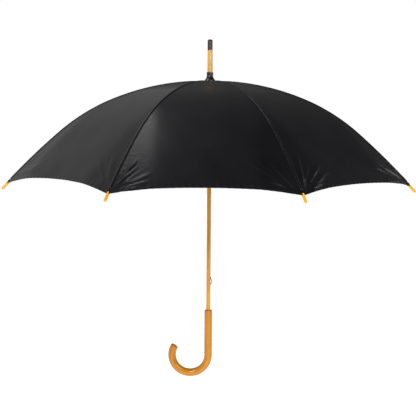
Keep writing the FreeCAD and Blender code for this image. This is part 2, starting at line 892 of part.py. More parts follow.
def make_stretcher(number):
    """A channel from the rib's rivet to the runner's wire, and its rivet as a second solid."""
    azimuth = rib_azimuth(number)
    towards = 180 - (90 - size("link_open_angle"))
    place = in_rib_plane(azimuth, rib_joint(), towards)
    body = new_body(f"stretcher_{number}_arm", place)
    half = size("stretcher_depth") / 2
    sketch = new_sketch(body, "XZ_Plane")
    circle(sketch, (0, 0), "fork_eye_radius")
    pad(body, sketch, "fork_width")
    sketch = new_sketch(body, "XZ_Plane")
    rectangle(sketch, (0, -half), ("fork_length", half))
    pad(body, sketch, "fork_width")
    sketch = new_sketch(body, "XY_Plane")
    gap = size("fork_gap") / 2
    rectangle(sketch, ("-fork_behind", -gap), ("fork_throat", gap))
    cut(body, sketch, 4 * half)
    start = size("fork_length") - 1
    sketch = new_sketch(body, "YZ_Plane", lifted(start))
    channel(sketch, size("stretcher_width"), size("stretcher_depth"), size("rib_wall"), half)
    length = size("link_length")
    pad(body, sketch, length - size("rib_start") - start, symmetric=False)
    tang = (size("stretcher_eye_foot"), size("stretcher_eye_half"))
    start = length - size("stretcher_eye_tang")
    eye(body, (length, 0), start, tang, "eye_radius", "eye_thickness")
    bore(body, (length, 0), "eye_bore_radius")
    bore(body, (0, 0), "rivet_radius")

    across = FreeCAD.Rotation(X_AXIS, -90)
    shank = size("fork_width") + 2 * size("rivet_head")
    rods = []
    for radius, long, start in (
        ("rivet_radius", size("fork_width"), -size("fork_width") / 2),
        ("rivet_head_radius", size("rivet_head"), -shank / 2),
        ("rivet_head_radius", size("rivet_head"), size("fork_width") / 2),
    ):
        spot = FreeCAD.Placement(FreeCAD.Vector(0, start, 0), across)
        rods.append(cylinder(f"rivet_{number}_rod", radius, long, place.multiply(spot)))
    rivet = doc.addObject("Part::MultiFuse", f"rivet_{number}")
    rivet.Shapes = rods
    both = doc.addObject("Part::Compound", f"stretcher_{number}")
    both.Links = [body, rivet]
    node(f"stretcher_{number}", both)


# Canopy


def gore_profile(sketch, arcs, lift, thickness, ends=None):
    """A closed strip along arcs that run square to the hem, in the gore's middle plane."""
    flat = math.cos(math.pi / size("rib_count"))
    first, last = ends or (arcs[0].slopes[0], arcs[-1].slopes[1])
    low, bends = [], []
    for arc in arcs:
        start = max(first, arc.slopes[0])
        end = min(last, arc.slopes[1])
        low.append(arc.at(start))
        bends.append(arc.at((start + end) / 2))
    low.append(arcs[-1].at(min(last, arcs[-1].slopes[1])))
    count = len(arcs)
    lower = [(r * flat, z + lift) for r, z in low]
    upper = [(r * flat, z + lift + thickness) for r, z in low][::-1]
    through = {i: (r * flat, z + lift) for i, (r, z) in enumerate(bends)}
    for i, (r, z) in enumerate(bends[::-1]):
        through[count + 1 + i] = (r * flat, z + lift + thickness)
    outline(sketch, lower + upper, through)


def gore_azimuth(number):
    return -90 + (number - 1) * 360 / size("rib_count")


def make_gore(number):
    """One panel: the canopy's curve, extruded along the hem and trimmed to its wedge."""
    label = f"canopy_gore_{number}"
    body = new_body(label, turned(gore_azimuth(number), base=lifted(size("crown_height")).Base))
    sketch = new_sketch(body, "XZ_Plane")
    thickness = size("cloth_thickness")
    gore_profile(sketch, cloth_arcs(), -thickness / 2, thickness)
    half_angle = math.pi / size("rib_count")
    radius = size("canopy_radius")
    overrun = size("trim_overrun")
    pad(body, sketch, 2 * (radius * math.sin(half_angle) + overrun))
    trim = new_sketch(body, "XY_Plane")
    flat = math.cos(half_angle)
    slant = math.tan(half_angle)
    side = size("seam_gap") / flat
    near = size("gore_near")
    notch_at = flat * (tip_place()[0][0] - size("corner_length"))
    hem = radius * flat
    step = size("corner_cut") / flat
    upper = [
        (near, near * slant - side),
        (notch_at, notch_at * slant - side),
        (notch_at, notch_at * slant - step),
        (hem + overrun, (hem + overrun) * slant - step),
    ]
    points = upper + [(x, -y) for x, y in upper[::-1]]
    outline(trim, points, {3: (hem - size("hem_scallop"), 0)})
    far = 2 * radius
    outline(trim, [(-far, -far), (far, -far), (far, far), (-far, far)])
    cut(body, trim, 3 * radius)
    node(label, body)


def make_tie_strap():
    """The strap lies snapped on itself on the back gore, near a rib, its sewn end at the hem."""
    number = 1 + size("rib_count") // 2
    rim = cloth_arcs()[2]
    flat = math.cos(math.pi / size("rib_count"))
    hem_radius = size("canopy_radius") - size("hem_scallop") / flat
    end = hem_radius - size("strap_from_hem") / flat
    last = rim.slope_at_radius(end)
    across = size("strap_length") * math.cos(math.radians(rim.slopes[0])) / flat
    first = rim.slope_at_radius(end - across)
    place = turned(gore_azimuth(number), base=lifted(size("crown_height")).Base)
    body = new_body("tie_strap", place)
    # The XZ plane's normal is -Y, so a sketch on it moves towards the rib by a negative depth.
    sketch = new_sketch(body, "XZ_Plane", lifted(-size("strap_side")))
    lift = size("strap_lift")
    gore_profile(sketch, [rim], lift, size("strap_thickness"), (first, last))
    pad(body, sketch, "strap_width")
    node("tie_strap", body)
    slope = (2 * first + last) / 3
    radius, level = rim.at(slope)
    top = lift + size("strap_thickness") - size("snap_sunk")
    base = FreeCAD.Vector(radius * flat, size("strap_side"), level + top)
    tilt = math.degrees(math.atan(math.tan(math.radians(slope)) / flat))
    spot = FreeCAD.Placement(base, FreeCAD.Rotation(Y_AXIS, tilt))
    node("strap_snap", cylinder("strap_snap", "snap_radius", "snap_height", place.multiply(spot)))


def check_and_write():
    """Stops if an object failed, then writes each sub-part to its own file."""
    doc.recompute()
    for thing in doc.Objects:
        bad = [word for word in thing.State if word in ("Invalid", "Error")]
        if bad:
            raise RuntimeError(f"{thing.Label} is {bad}: {thing.getStatusString()}")
    os.makedirs("parts", exist_ok=True)
    for thing in NODES:
        shape = thing.Shape
        if shape.isNull() or not shape.isValid():
            raise RuntimeError(f"{thing.Label} has no valid shape")
        shape.exportStep(f"parts/{thing.Label}.step")
        box = shape.BoundBox
        print(f"{thing.Label}: {len(shape.Solids)} solids, {shape.Volume:.1f} mm3, "
              f"x {box.XMin:.1f}..{box.XMax:.1f}, z {box.ZMin:.1f}..{box.ZMax:.1f}")


make_shaft()
make_handle()
make_ferrule()
make_ferrule_cap()
make_crown_cup()
make_crown_patch()
make_top_notch()
make_runner()
make_pivot_wires()
make_hand_springs()
for count in range(1, size("rib_count") + 1):
    make_rib_inner(count)
    make_rib_outer(count)
    make_tip(count)
    make_stretcher(count)
    make_gore(count)
make_tie_strap()
check_and_write()
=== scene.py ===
"""Cloth, finishes, light and camera for a black stick umbrella with a wooden shaft.

Lengths are in metres and angles in radians unless a name says otherwise. The cloth of each
gore is one function of two coordinates: how far across it a point is, from -1 at one rib to 1
at the next, and how far along it is from the crown. Two pieces of cloth hang on each rib,
because a rib has two links: one above its bend and one below.
"""

import json
import math

import bpy
import numpy as np
from mathutils import Matrix, Vector


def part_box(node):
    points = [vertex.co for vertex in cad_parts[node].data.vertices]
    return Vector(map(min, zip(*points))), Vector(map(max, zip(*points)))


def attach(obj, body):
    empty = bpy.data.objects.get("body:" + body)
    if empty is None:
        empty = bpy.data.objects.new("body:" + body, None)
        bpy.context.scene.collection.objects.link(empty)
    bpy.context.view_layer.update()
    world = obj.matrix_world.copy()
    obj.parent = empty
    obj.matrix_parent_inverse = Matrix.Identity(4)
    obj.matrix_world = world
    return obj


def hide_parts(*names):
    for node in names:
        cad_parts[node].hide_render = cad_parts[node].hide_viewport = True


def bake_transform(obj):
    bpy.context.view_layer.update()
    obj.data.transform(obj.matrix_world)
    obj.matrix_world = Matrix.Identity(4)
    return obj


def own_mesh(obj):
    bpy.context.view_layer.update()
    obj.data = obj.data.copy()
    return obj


MM = 0.001
RIB_COUNT = 8
RIB_STEP = 2 * math.pi / RIB_COUNT
HALF_GORE = RIB_STEP / 2

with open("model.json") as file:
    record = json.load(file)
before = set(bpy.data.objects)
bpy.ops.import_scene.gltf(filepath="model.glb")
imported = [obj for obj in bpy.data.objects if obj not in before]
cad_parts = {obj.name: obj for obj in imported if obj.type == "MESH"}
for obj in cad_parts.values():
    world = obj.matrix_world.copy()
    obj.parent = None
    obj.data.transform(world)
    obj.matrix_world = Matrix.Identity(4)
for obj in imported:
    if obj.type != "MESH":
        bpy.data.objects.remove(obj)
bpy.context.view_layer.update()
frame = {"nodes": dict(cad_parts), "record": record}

# The shaft's axis is the frame's Z axis, and the cloth meets it at the crown.
CROWN_OVER_NOTCH = 3 * MM
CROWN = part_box("top_notch")[1].z + CROWN_OVER_NOTCH

# The cloth's line over a rib is three tangent arcs: slopes in degrees, and the radii they reach.
LINE_SLOPES = (0.6, 22.0, 40.5, 46.5)
LINE_RADII = (9.7 * MM, 254 * MM, 390 * MM, 517 * MM)
CROWN_DROP = 0.6 * MM

CLOTH_THICKNESS = 0.4 * MM

# The hem is turned over on itself. Each gore's scallop has its own depth, in millimetres.
HEM_THICKNESS = 1.0 * MM
HEM_WIDTH = 8 * MM
HEM_EDGE = 1.5 * MM
HEM_SCALLOPS = (8, 9, 10, 11, 12, 12, 13, 14)

# A panel sags between its ribs, and its sides turn down towards them.
PANEL_SAG = 1.5 * MM
SIDE_START = 112 * MM
SIDE_TURN = 0.115
SIDE_SOFTNESS = 7 * MM

# Slow uneven waves run through it. Their lengths are in millimetres.
DRAPE = 0.55 * MM
DRAPE_WAVES = 6
DRAPE_LENGTHS = (60, 150)
DRAPE_SEED = 900

# Stitches pucker the cloth in small waves along the hem and beside a seam, where the waves
# grow between these distances from the crown. Right at a seam, its stitches hold waves and
# creases down.
PUCKER = 0.22 * MM
PUCKER_SPACING = 14 * MM
PUCKER_REACH = 9 * MM
PUCKER_START = 30 * MM
PUCKER_FULL = 60 * MM
HEM_PUCKER_REACH = 25 * MM
SEAM_HOLD = 7 * MM

# Creases fan out from its corners. Their angles are in degrees from the hem, their bow is in
# radians per metre, and their starts, lengths and widths are in millimetres. Each gore has
# its own share of the height, and each crease a share of that.
CREASES = 11
CREASE_HEIGHT = 2.1 * MM
CREASE_SHARES = (1.0, 0.9, 0.7, 0.8, 0.9, 0.8, 0.7, 0.45)
CREASE_HEIGHTS = (0.3, 1.0)
CREASE_FIRST_ANGLE = 7
CREASE_FAN = 62
CREASE_SCATTER = (0.1, 0.9)
CREASE_STARTS = (12, 45)
CREASE_LENGTHS = (45, 115)
CREASE_WIDTHS = (2.6, 5.6)
CREASE_BOW = 0.5
CREASE_RISE = 20 * MM
CREASE_FADE = 40 * MM

# The cloth stands up a little over the base of a tip, between these distances from the rim.
TIP_LIFT = 0.35 * MM
TIP_LIFT_WIDTH = 2.4 * MM
TIP_LIFT_START = 16 * MM
TIP_LIFT_FULL = 9 * MM


# ---------------------------------------------------------------- the cloth's shape


class RibLine:
    """The cloth's line over a rib, in the rib's own upright plane."""

    def __init__(self):
        self.slopes = np.radians(LINE_SLOPES)
        self.radii = np.array(LINE_RADII)
        self.bends = np.diff(self.radii) / np.diff(np.sin(self.slopes))
        lengths = self.bends * np.diff(self.slopes)
        drops = -self.bends * np.diff(np.cos(self.slopes))
        self.starts = np.concatenate([[0], np.cumsum(lengths)])
        self.levels = CROWN - CROWN_DROP - np.concatenate([[0], np.cumsum(drops)])

    def arc_of(self, value, edges):
        return np.clip(np.searchsorted(edges, value, side="right") - 1, 0, len(self.bends) - 1)

    def at(self, along):
        """Radius, level and slope at a length along the line."""
        arc = self.arc_of(along, self.starts)
        first = self.slopes[arc]
        slope = first + (along - self.starts[arc]) / self.bends[arc]
        radius = self.radii[arc] + self.bends[arc] * (np.sin(slope) - np.sin(first))
        level = self.levels[arc] - self.bends[arc] * (np.cos(first) - np.cos(slope))
        return radius, level, slope

    def along(self, radius):
        """The length along the line at which it reaches a radius."""
        arc = self.arc_of(radius, self.radii)
        first = self.slopes[arc]
        slope = np.arcsin(np.sin(first) + (radius - self.radii[arc]) / self.bends[arc])
        return self.starts[arc] + self.bends[arc] * (slope - first)


RIB_LINE = RibLine()
BEND_ALONG = RIB_LINE.starts[1]
RIM_ALONG = RIB_LINE.starts[3]
RIM_HALF_WIDTH = LINE_RADII[-1] * math.sin(HALF_GORE)


def rib_azimuth(rib):
    return -math.pi / 2 + (rib - 0.5) * RIB_STEP


def gore_azimuth(gore):
    return -math.pi / 2 + (gore - 1) * RIB_STEP


def next_gore(rib):
    """The gore on a rib's far side, counted the way the azimuth grows."""
    return rib % RIB_COUNT + 1


def ease(value, low, high):
    """0 below low, 1 above high, and smooth between them."""
    share = np.clip((value - low) / (high - low), 0, 1)
    return share * share * (3 - 2 * share)


def hem_along(gore, across):
    """Where the hem crosses: it is cut in a shallow scallop between the tips."""
    scallop = HEM_SCALLOPS[gore - 1] * MM
    radius = LINE_RADII[-1] - scallop * (1 - np.square(across))
    return RIB_LINE.along(radius)


def crown_along(_, across):
    return np.zeros_like(across)


def bend_along(_, across):
    return np.full_like(across, BEND_ALONG)


def corner_creases(gore, side, across_flat, along):
    """Folds that fan out from a gore's corner, where the tip pulls the cloth tight."""
    seed = 40 * gore + 7 * (side + 1) + 3
    chance = np.random.default_rng(seed)
    inward = RIM_HALF_WIDTH - side * across_flat
    upward = RIM_ALONG - along
    distance = np.hypot(inward, upward)
    heading = np.arctan2(upward, inward)
    total = np.zeros_like(distance)
    for number in range(CREASES):
        share = (number + chance.uniform(*CREASE_SCATTER)) / CREASES
        begins = chance.uniform(*CREASE_STARTS) * MM
        ends = begins + chance.uniform(*CREASE_LENGTHS) * MM
        width = chance.uniform(*CREASE_WIDTHS) * MM
        height = CREASE_HEIGHT * CREASE_SHARES[gore - 1] * chance.uniform(*CREASE_HEIGHTS)
        bow = chance.uniform(-CREASE_BOW, CREASE_BOW)
        middle = math.radians(CREASE_FIRST_ANGLE + CREASE_FAN * share) + bow * (distance - begins)
        ridge = np.exp(-np.square(distance * np.sin(heading - middle) / width))
        rise = ease(distance, begins, begins + CREASE_RISE)
        fade = 1 - ease(distance, ends - CREASE_FADE, ends)
        total += height * ridge * rise * fade
    return total


def drape(gore, across_flat, along):
    """Slow uneven waves that no tight cloth is free of, from -1 to 1."""
    chance = np.random.default_rng(DRAPE_SEED + gore)
    total = np.zeros_like(across_flat + along)
    for _ in range(DRAPE_WAVES):
        heading = chance.uniform(0, math.pi)
        length = chance.uniform(*DRAPE_LENGTHS) * MM
        phase = chance.uniform(0, 2 * math.pi)
        run = across_flat * math.cos(heading) + along * math.sin(heading)
        total += np.sin(2 * math.pi * run / length + phase)
    return total / DRAPE_WAVES


def fall_away(from_middle):
    """How far a panel has curled down at a distance from its middle line."""
    beyond = (from_middle - SIDE_START) / SIDE_SOFTNESS
    return SIDE_TURN * SIDE_SOFTNESS * np.logaddexp(0, beyond)


def cloth_lift(gore, across, along, half_width):
    """How far the cloth stands off the straight surface between its two ribs."""
    size = half_width / RIM_HALF_WIDTH
    from_seam = (1 - np.abs(across)) * half_width
    free = 1 - np.exp(-np.maximum(from_seam, 0) / SEAM_HOLD)
    near_hem = ease(along - hem_along(gore, across), -HEM_PUCKER_REACH, 0)
    flat = across * half_width
    lift = fall_away(half_width) - fall_away(np.abs(flat))
    lift -= PANEL_SAG * size * (1 - np.square(across))
    lift += DRAPE * size * drape(gore, flat, along) * (1 - np.square(across))
    for side in (-1, 1):
        lift += corner_creases(gore, side, flat, along) * free
    wave = np.sin(2 * math.pi * along / PUCKER_SPACING + gore)
    near_seam = np.exp(-from_seam / PUCKER_REACH) * ease(along, PUCKER_START, PUCKER_FULL)
    lift += PUCKER * wave * free * near_seam
    hem_wave = np.sin(2 * math.pi * flat / PUCKER_SPACING + 2 * gore)
    lift += PUCKER * hem_wave * free * near_hem
    over_tip = ease(along, RIM_ALONG - TIP_LIFT_START, RIM_ALONG - TIP_LIFT_FULL)
    lift += TIP_LIFT * over_tip * np.exp(-np.square(from_seam / TIP_LIFT_WIDTH))
    return lift


def cloth(gore, across, along):
    """Points of a gore's cloth."""
    across, along = np.broadcast_arrays(across, along)
    radius, level, slope = RIB_LINE.at(along)
    half_width = radius * math.sin(HALF_GORE)
    tilt = np.arctan(np.tan(slope) / math.cos(HALF_GORE))
    lift = cloth_lift(gore, across, along, half_width)
    out = radius * math.cos(HALF_GORE) + lift * np.sin(tilt)
    side = across * half_width
    azimuth = gore_azimuth(gore)
    x = out * math.cos(azimuth) - side * math.sin(azimuth)
    y = out * math.sin(azimuth) + side * math.cos(azimuth)
    return np.stack([x, y, level + lift * np.cos(tilt)], axis=-1)


def cloth_normals(gore, across, along):
    """The directions the cloth faces, outwards, from points close beside each point."""
    step_across = 0.004
    step_along = 0.6 * MM
    outwards = cloth(gore, across, along + step_along) - cloth(gore, across, along - step_along)
    sideways = cloth(gore, across + step_across, along) - cloth(gore, across - step_across, along)
    normals = np.cross(outwards, sideways)
    return normals / np.linalg.norm(normals, axis=-1, keepdims=True)


# ---------------------------------------------------------------- mesh helpers


def link(name, mesh):
    made = bpy.data.objects.new(name, mesh)
    bpy.context.scene.collection.objects.link(made)
    return made


def mesh_object(name, points, faces, material, smooth=True):
    mesh = bpy.data.meshes.new(name)
    mesh.from_pydata([tuple(point) for point in points], [], faces)
    mesh.materials.append(material)
    mesh.polygons.foreach_set("use_smooth", [smooth] * len(mesh.polygons))
    mesh.update()
    return link(name, mesh)


def grid_faces(rows, columns, first=0, flip=False):
    """Quads over a grid of points that are numbered row by row."""
    row, column = np.meshgrid(np.arange(rows - 1), np.arange(columns - 1), indexing="ij")
    corner = (first + row * columns + column).ravel()
    quads = np.stack([corner, corner + columns, corner + columns + 1, corner + 1], axis=1)
    return quads[:, ::-1] if flip else quads


def rim_loop(rows, columns):
    """The grid's outer points in order, all the way round."""
    top = list(range(columns))
    right = [row * columns + columns - 1 for row in range(1, rows)]
    bottom = [(rows - 1) * columns + column for column in range(columns - 2, -1, -1)]
    left = [row * columns for row in range(rows - 2, 0, -1)]
    return top + right + bottom + left


def thin_sheet(name, points, normals, thickness, cloth_places, material):
    """A closed sheet: two surfaces on a grid of points, joined all round their edge.

    cloth_places holds, for each half of the columns, every point's place on its flat cloth.
    """
    rows, columns = points.shape[:2]
    count = rows * columns
    offset = normals * (thickness[..., None] / 2)
    outer = (points + offset).reshape(-1, 3)
    inner = (points - offset).reshape(-1, 3)
    edge = rim_loop(rows, columns)
    walls = [(a, b, b + count, a + count) for a, b in zip(edge, edge[1:] + edge[:1])]
    upper = grid_faces(rows, columns)
    lower = grid_faces(rows, columns, count, flip=True)
    faces = upper.tolist() + lower.tolist() + walls
    made = mesh_object(name, np.concatenate([outer, inner]), faces, material)
    flat = normals.reshape(-1, 3)
    made.data.normals_split_custom_set_from_vertices(np.concatenate([flat, -flat]).tolist())
    mark_cloth(made, rows, columns, cloth_places)
    return made


def mark_cloth(made, rows, columns, cloth_places):
    """Gives each face corner its place on the flat cloth, for the weave."""
    loops = np.zeros(len(made.data.loops), dtype=int)
    made.data.loops.foreach_get("vertex_index", loops)
    spot = loops % (rows * columns)
    face_column = np.zeros(len(loops))
    for face in made.data.polygons:
        first = face.loop_start
        last = first + face.loop_total
        face_column[first:last] = (spot[first:last] % columns).mean()
    second = (face_column > (columns - 1) / 2).astype(int)
    places = np.stack([half.reshape(-1, 3) for half in cloth_places])
    values = places[second, spot]
    attribute = made.data.attributes.new("cloth_place", "FLOAT_VECTOR", "CORNER")
    attribute.data.foreach_set("vector", values.astype(np.float32).ravel())


def lathe(name, profile, material, place, segments):
    """A turned piece: profile is a closed run of (radius, height), revolved round Z.

    Its shading is smooth except at edges sharper than 35 degrees.
    """
    points = []
    for turn in range(segments):
        angle = 2 * math.pi * turn / segments
        for radius, height in profile:
            spot = Vector((radius * math.cos(angle), radius * math.sin(angle), height))
            points.append(place @ spot)
    size = len(profile)
    faces = []
    for turn in range(segments):
        here = turn * size
        there = (turn + 1) % segments * size
        for item in range(size):
            after = (item + 1) % size
            faces.append((here + item, there + item, there + after, here + after))
    made = mesh_object(name, points, faces, material)
    made.data.set_sharp_from_angle(angle=math.radians(35))
    return made


# ---------------------------------------------------------------- materials


class Nodes:
    """A short way to write a material's nodes."""

    def __init__(self, name):
        self.material = bpy.data.materials.new(name)
        self.material.use_nodes = True
        self.tree = self.material.node_tree
        self.shader = self.tree.nodes["Principled BSDF"]

    def add(self, kind, settings=None, **inputs):
        node = self.tree.nodes.new(kind)
        for key, value in (settings or {}).items():
            setattr(node, key, value)
        for key, value in inputs.items():
            self.feed(node.inputs[key.replace("_", " ")], value)
        return node

    def feed(self, socket, value):
        if isinstance(value, bpy.types.NodeSocket):
            self.tree.links.new(value, socket)
        else:
            socket.default_value = value

    def maths(self, operation, first, second=0.0):
        node = self.tree.nodes.new("ShaderNodeMath")
        node.operation = operation
        self.feed(node.inputs[0], first)
        self.feed(node.inputs[1], second)
        return node.outputs[0]

    def plus(self, first, second):
        return self.maths("ADD", first, second)

    def times(self, first, second):
        return self.maths("MULTIPLY", first, second)

    def scaled(self, vector, factors):
        node = self.tree.nodes.new("ShaderNodeVectorMath")
        node.operation = "MULTIPLY"
        self.feed(node.inputs[0], vector)
        self.feed(node.inputs[1], factors)
        return node.outputs[0]

    def noise(self, vector, detail, scale=1.0, roughness=0.55):
        node = self.add("ShaderNodeTexNoise", None, Vector=vector, Scale=scale)
        node.inputs["Detail"].default_value = detail
        node.inputs["Roughness"].default_value = roughness
        return node.outputs["Fac"]

    def ramp(self, value, stops):
        """A colour ramp; stops are (position, colour)."""
        node = self.tree.nodes.new("ShaderNodeValToRGB")
        bands = node.color_ramp.elements
        while len(bands) < len(stops):
            bands.new(0.5)
        for band, (position, colour) in zip(bands, stops):
            band.position = position
            band.color = (*colour, 1.0)
        self.feed(node.inputs[0], value)
        return node.outputs["Color"]

    def between(self, value, low, high):
        """Maps a 0 to 1 value onto low to high."""
        node = self.tree.nodes.new("ShaderNodeMapRange")
        self.feed(node.inputs["Value"], value)
        node.inputs["To Min"].default_value = low
        node.inputs["To Max"].default_value = high
        return node.outputs["Result"]

    def bump(self, height, distance, strength, under=None):
        node = self.add("ShaderNodeBump", None, Height=height)
        node.inputs["Distance"].default_value = distance
        node.inputs["Strength"].default_value = strength
        if under is not None:
            self.feed(node.inputs["Normal"], under)
        return node.outputs["Normal"]

    def finish(self, **inputs):
        for key, value in inputs.items():
            self.feed(self.shader.inputs[key.replace("_", " ")], value)
        return self.material

    def own_place(self):
        return self.tree.nodes.new("ShaderNodeTexCoord").outputs["Object"]

    def cloth_place(self):
        node = self.add("ShaderNodeAttribute", {"attribute_name": "cloth_place"})
        return node.outputs["Vector"]


def grey(level):
    return (level, level, level)


def tinted(tint, share):
    return tuple(share * part for part in tint)


def cloth_material(name, tint, roughness, thread):
    """Satin polyester: fine warp and weft, a few slack threads, and slow changes of tone.

    Near the crown the cloth is rubbed matt, so that it doesn't mirror the bright ferrule. The
    ramps for that run over the distance from the crown, in metres.
    """
    nodes = Nodes(name)
    place = nodes.cloth_place()
    parts = nodes.add("ShaderNodeSeparateXYZ", None, Vector=place)
    along = parts.outputs["Y"]
    warp = nodes.maths("SINE", nodes.times(parts.outputs["X"], 2 * math.pi / thread))
    weft = nodes.maths("SINE", nodes.times(along, 2 * math.pi / thread))
    weave = nodes.plus(nodes.times(warp, weft), warp)
    slub = nodes.noise(nodes.scaled(place, (900, 45, 1)), detail=2)
    cloud = nodes.noise(nodes.scaled(place, (14, 11, 1)), detail=4)
    rumple = nodes.noise(nodes.scaled(place, (60, 38, 1)), detail=3)
    tone = nodes.plus(nodes.times(cloud, 0.7), nodes.times(slub, 0.3))
    colour = nodes.ramp(tone, [(0.3, tinted(tint, 0.72)), (0.7, tinted(tint, 1.35))])
    threads = nodes.bump(weave, 0.012 * MM, 0.5)
    slubbed = nodes.bump(slub, 0.02 * MM, 0.5, threads)
    normal = nodes.bump(rumple, 0.5 * MM, 0.35, slubbed)
    woven = nodes.between(tone, roughness - 0.05, roughness + 0.05)
    rubbed = nodes.ramp(along, [(0.07, grey(0.6)), (0.19, grey(0))])
    shine = nodes.ramp(along, [(0.03, grey(0.05)), (0.09, grey(0.22))])
    nodes.finish(Base_Color=colour, Roughness=nodes.plus(woven, rubbed), Normal=normal)
    return nodes.finish(Specular_IOR_Level=shine, Sheen_Weight=0.03, Sheen_Roughness=0.4)


def wood_grain(nodes, place, colours, roughness):
    """Lacquered wood: long streaks, pores and a slow change of tone along the piece."""
    streak = nodes.noise(nodes.scaled(place, (420, 420, 9)), detail=5, roughness=0.6)
    band = nodes.noise(nodes.scaled(place, (110, 110, 3)), detail=3)
    pore = nodes.noise(nodes.scaled(place, (1500, 1500, 60)), detail=2)
    slow = nodes.noise(nodes.scaled(place, (20, 20, 11)), detail=2)
    fine = nodes.plus(nodes.times(streak, 0.45), nodes.times(band, 0.3))
    tone = nodes.plus(fine, nodes.times(slow, 0.25))
    colour = nodes.ramp(tone, list(zip((0.36, 0.5, 0.64), colours)))
    dark_pore = nodes.ramp(pore, [(0.28, (0.62, 0.55, 0.5)), (0.4, (1, 1, 1))])
    mixed = nodes.add("ShaderNodeMix", {"data_type": "RGBA", "blend_type": "MULTIPLY"})
    mixed.inputs[0].default_value = 0.5
    nodes.feed(mixed.inputs[6], colour)
    nodes.feed(mixed.inputs[7], dark_pore)
    grain = nodes.bump(streak, 0.05 * MM, 0.4)
    rough = nodes.between(band, roughness - 0.05, roughness + 0.07)
    nodes.finish(Base_Color=mixed.outputs[2], Roughness=rough, Normal=grain)
    nodes.finish(Specular_IOR_Level=0.08)


def straight_wood(name, colours, roughness=0.35, coat=0.05):
    nodes = Nodes(name)
    wood_grain(nodes, nodes.own_place(), colours, roughness)
    return nodes.finish(Coat_Weight=coat, Coat_Roughness=0.08)


def handle_wood(name, colours, centre, radius, roughness):
    """Wood whose grain runs straight down the grip and then bends round the crook.

    On the grip, which is above the crook's centre and to its right, the grain's own place is
    the piece's. Round the crook it is the distance from the centre and the length of arc.
    """
    nodes = Nodes(name)
    parts = nodes.add("ShaderNodeSeparateXYZ", None, Vector=nodes.own_place())
    side = nodes.maths("SUBTRACT", parts.outputs["X"], centre.x)
    height = nodes.maths("SUBTRACT", parts.outputs["Z"], centre.z)
    below = nodes.times(height, -1.0)
    squares = nodes.plus(nodes.times(side, side), nodes.times(height, height))
    from_centre = nodes.maths("SQRT", squares)
    above = nodes.maths("GREATER_THAN", height, 0.0)
    right = nodes.maths("GREATER_THAN", side, 0.0)
    straight = nodes.times(above, right)
    curved = nodes.maths("SUBTRACT", 1.0, straight)
    angle = nodes.maths("ARCTAN2", below, side)
    past_half_turn = nodes.maths("LESS_THAN", angle, -1.6)
    round_crook = nodes.plus(angle, nodes.times(past_half_turn, 2 * math.pi))
    across = nodes.plus(nodes.times(straight, side), nodes.times(curved, from_centre))
    arc = nodes.times(round_crook, radius)
    down = nodes.plus(nodes.times(straight, below), nodes.times(curved, arc))
    place = nodes.add("ShaderNodeCombineXYZ", None, X=across, Y=parts.outputs["Y"], Z=down)
    wood_grain(nodes, place.outputs["Vector"], colours, roughness)
    return nodes.finish(Coat_Weight=0.7, Coat_Roughness=0.2)


def coated_metal(name, tint, metallic, roughness, coat=0.0):
    """Painted or plated metal: faint orange peel, fine scuffs and patches of handling."""
    nodes = Nodes(name)
    place = nodes.own_place()
    peel = nodes.noise(place, scale=900, detail=2)
    scuff = nodes.noise(nodes.scaled(place, (260, 260, 1400)), detail=3)
    patch = nodes.noise(place, scale=45, detail=3)
    colour = nodes.ramp(patch, [(0.3, tinted(tint, 0.75)), (0.7, tinted(tint, 1.3))])
    rough = nodes.between(scuff, roughness - 0.06, roughness + 0.1)
    normal = nodes.bump(peel, 0.02 * MM, 0.4)
    nodes.finish(Base_Color=colour, Roughness=rough, Normal=normal, Metallic=metallic)
    return nodes.finish(Coat_Weight=coat, Coat_Roughness=0.1)


def gloss_plastic(name, tint, roughness):
    """Moulded plastic: faint flow marks and a little dust."""
    nodes = Nodes(name)
    place = nodes.own_place()
    flow = nodes.noise(nodes.scaled(place, (70, 70, 160)), detail=3)
    dust = nodes.noise(place, scale=1800, detail=2)
    colour = nodes.ramp(flow, [(0.3, tinted(tint, 0.8)), (0.7, tint)])
    rough = nodes.between(dust, roughness, roughness + 0.1)
    normal = nodes.bump(flow, 0.03 * MM, 0.3)
    return nodes.finish(Base_Color=colour, Roughness=rough, Normal=normal)


# The handle's centre line is a half circle and a bit more, to the left of the grip.
CROOK_RADIUS = 48 * MM
CROOK_BELOW_CROWN = 723.5 * MM
CROOK_CENTRE = Vector((-CROOK_RADIUS, 0, CROWN - CROOK_BELOW_CROWN))

CLOTH = cloth_material("black_satin", (0.004, 0.004, 0.0052), 0.29, 0.5 * MM)
STRAP_CLOTH = cloth_material("black_strap", (0.0058, 0.0058, 0.007), 0.46, 0.8 * MM)

